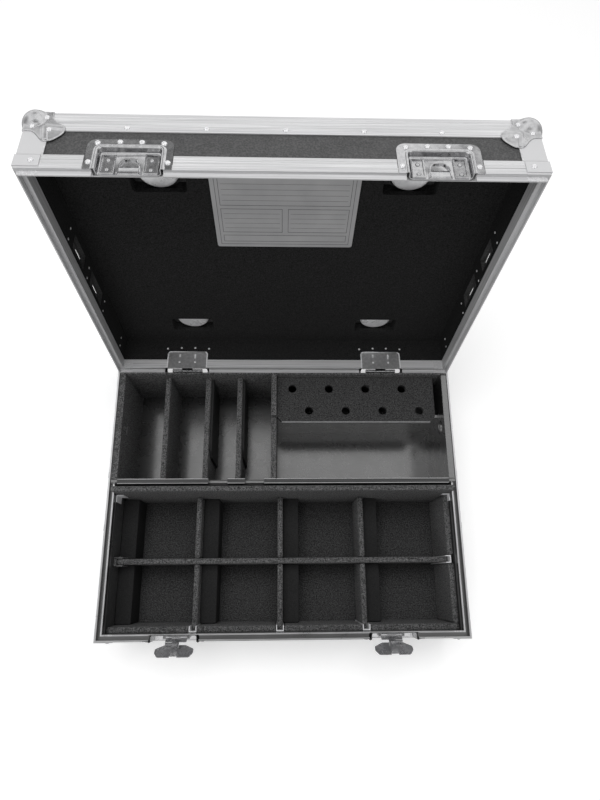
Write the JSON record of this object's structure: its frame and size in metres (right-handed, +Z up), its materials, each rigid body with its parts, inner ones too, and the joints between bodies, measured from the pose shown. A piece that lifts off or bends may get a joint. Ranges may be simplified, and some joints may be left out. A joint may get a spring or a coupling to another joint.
{
  "type": "lighting flight case",
  "caption": "Open flight case with aluminium edges, ball corners, butterfly latches, a foam-lined lid, carpeted compartments and a lift-out tray with a spigot shelf.",
  "frame": {"origin": "on the floor, under the middle of the open case's box", "axes": "+Z up, -Y the case's front with the latches, +X the end with the spigot shelf"},
  "size_m": [0.6824, 0.6952, 0.6677],
  "materials": {
    "ply_laminate": "textured dark grey laminate on plywood",
    "edge_aluminium": "ribbed, satin",
    "bright_steel": "bright plated",
    "carpet": "speckled needle felt on board",
    "lining_foam": "fine grained, near black",
    "tray_board": "glossy dark sheet",
    "tray_metal": "satin",
    "card_stock": "laminated card",
    "rubber": "matt"
  },
  "bodies": {
    "base": {"base_carcass": "ply_laminate", "base_edges": "edge_aluminium", "base_rim": "edge_aluminium", "base_ball_corner_front_left": "bright_steel", "base_ball_corner_front_right": "bright_steel", "base_ball_corner_rear_right": "bright_steel", "base_ball_corner_rear_left": "bright_steel", "base_latch_dish_left": "bright_steel", "base_latch_dish_right": "bright_steel", "base_hinge_left": "bright_steel", "base_hinge_right": "bright_steel", "base_floor_lining": "carpet", "section_lining": "carpet", "section_panel": "carpet", "long_divider_left": "carpet", "long_divider_middle": "carpet", "long_divider_right": "carpet", "cross_divider": "carpet", "divider_post_left": "edge_aluminium", "divider_post_middle": "edge_aluminium", "divider_post_right": "edge_aluminium", "cross_divider_channel": "edge_aluminium", "handle_plate_left": "bright_steel", "handle_plate_right": "bright_steel", "rubber_foot_front_left": "rubber", "rubber_foot_rear_left": "rubber", "rubber_foot_front_right": "rubber", "rubber_foot_rear_right": "rubber"},
    "lid": {"lid_carcass": "ply_laminate", "lid_edges": "edge_aluminium", "lid_rim": "edge_aluminium", "lid_ball_corner_front_left": "bright_steel", "lid_ball_corner_front_right": "bright_steel", "lid_ball_corner_rear_right": "bright_steel", "lid_ball_corner_rear_left": "bright_steel", "lid_latch_dish_left": "bright_steel", "lid_latch_dish_right": "bright_steel", "lid_hinge_left": "bright_steel", "lid_hinge_right": "bright_steel", "lid_lining": "lining_foam", "lid_card": "card_stock", "stacking_cup_front_left": "bright_steel", "stacking_cup_rear_left": "bright_steel", "stacking_cup_front_right": "bright_steel", "stacking_cup_rear_right": "bright_steel"},
    "tray": {"tray_box": "tray_board", "tray_front_cap": "tray_metal", "spigot_shelf": "carpet"},
    "left_handle": {"handle_bail_left": "bright_steel"},
    "right_handle": {"handle_bail_right": "bright_steel"},
    "left_latch": {"left_latch_carrier": "bright_steel"},
    "left_hub": {"left_latch_hub": "bright_steel"},
    "left_hook": {"left_latch_hook": "bright_steel"},
    "left_outer_wing": {"left_latch_outer_wing": "bright_steel"},
    "left_inner_wing": {"left_latch_inner_wing": "bright_steel"},
    "right_latch": {"right_latch_carrier": "bright_steel"},
    "right_hub": {"right_latch_hub": "bright_steel"},
    "right_hook": {"right_latch_hook": "bright_steel"},
    "right_outer_wing": {"right_latch_outer_wing": "bright_steel"},
    "right_inner_wing": {"right_latch_inner_wing": "bright_steel"}
  },
  "joints": [
    {"name": "lid_hinge", "type": "hinge", "parent": "base", "child": "lid", "pos_m": [0, 0.16945, 0.181], "axis": [1, 0, 0], "range_deg": [0, 98.99]},
    {"name": "left_latch_swing", "type": "hinge", "parent": "base", "child": "left_latch", "pos_m": [-0.19, -0.31755, 0.15], "axis": [1, 0, 0], "range_deg": [-38, 0]},
    {"name": "left_latch_turn", "type": "hinge", "parent": "left_latch", "child": "left_hub", "pos_m": [-0.19, -0.34058, 0.17135], "axis": [0, 0.788, 0.6157], "range_deg": [0, 180]},
    {"name": "left_latch_draw", "type": "slide", "parent": "left_hub", "child": "left_hook", "axis": [0, -0.6157, 0.788], "range_m": [0, 0.0015]},
    {"name": "left_outer_wing_fold", "type": "hinge", "parent": "left_hub", "child": "left_outer_wing", "pos_m": [-0.195, -0.33979, 0.17197], "axis": [0, -0.6157, 0.788], "range_deg": [0, 85]},
    {"name": "left_inner_wing_fold", "type": "hinge", "parent": "left_hub", "child": "left_inner_wing", "pos_m": [-0.185, -0.33979, 0.17197], "axis": [0, 0.6157, -0.788], "range_deg": [0, 85]},
    {"name": "right_latch_swing", "type": "hinge", "parent": "base", "child": "right_latch", "pos_m": [0.19, -0.31755, 0.15], "axis": [1, 0, 0], "range_deg": [-38, 0]},
    {"name": "right_latch_turn", "type": "hinge", "parent": "right_latch", "child": "right_hub", "pos_m": [0.19, -0.34058, 0.17135], "axis": [0, 0.788, 0.6157], "range_deg": [0, 180]},
    {"name": "right_latch_draw", "type": "slide", "parent": "right_hub", "child": "right_hook", "axis": [0, -0.6157, 0.788], "range_m": [0, 0.0015]},
    {"name": "right_outer_wing_fold", "type": "hinge", "parent": "right_hub", "child": "right_outer_wing", "pos_m": [0.195, -0.33979, 0.17197], "axis": [0, 0.6157, -0.788], "range_deg": [0, 85]},
    {"name": "right_inner_wing_fold", "type": "hinge", "parent": "right_hub", "child": "right_inner_wing", "pos_m": [0.185, -0.33979, 0.17197], "axis": [0, -0.6157, 0.788], "range_deg": [0, 85]},
    {"name": "left_handle_swing", "type": "hinge", "parent": "base", "child": "left_handle", "pos_m": [-0.334, -0.07655, 0.129], "axis": [0, 1, 0], "range_deg": [0, 90]},
    {"name": "right_handle_swing", "type": "hinge", "parent": "base", "child": "right_handle", "pos_m": [0.334, -0.07655, 0.129], "axis": [0, -1, 0], "range_deg": [0, 90]},
    {"name": "tray_lift", "type": "slide", "parent": "base", "child": "tray", "axis": [0, 0, 1], "range_m": [0, 0.03]}
  ],
  "couplings": [
    {"joint": "left_latch_draw", "follows": "left_latch_turn", "m_per_rad": 0.000477},
    {"joint": "right_latch_draw", "follows": "right_latch_turn", "m_per_rad": 0.000477}
  ]
}
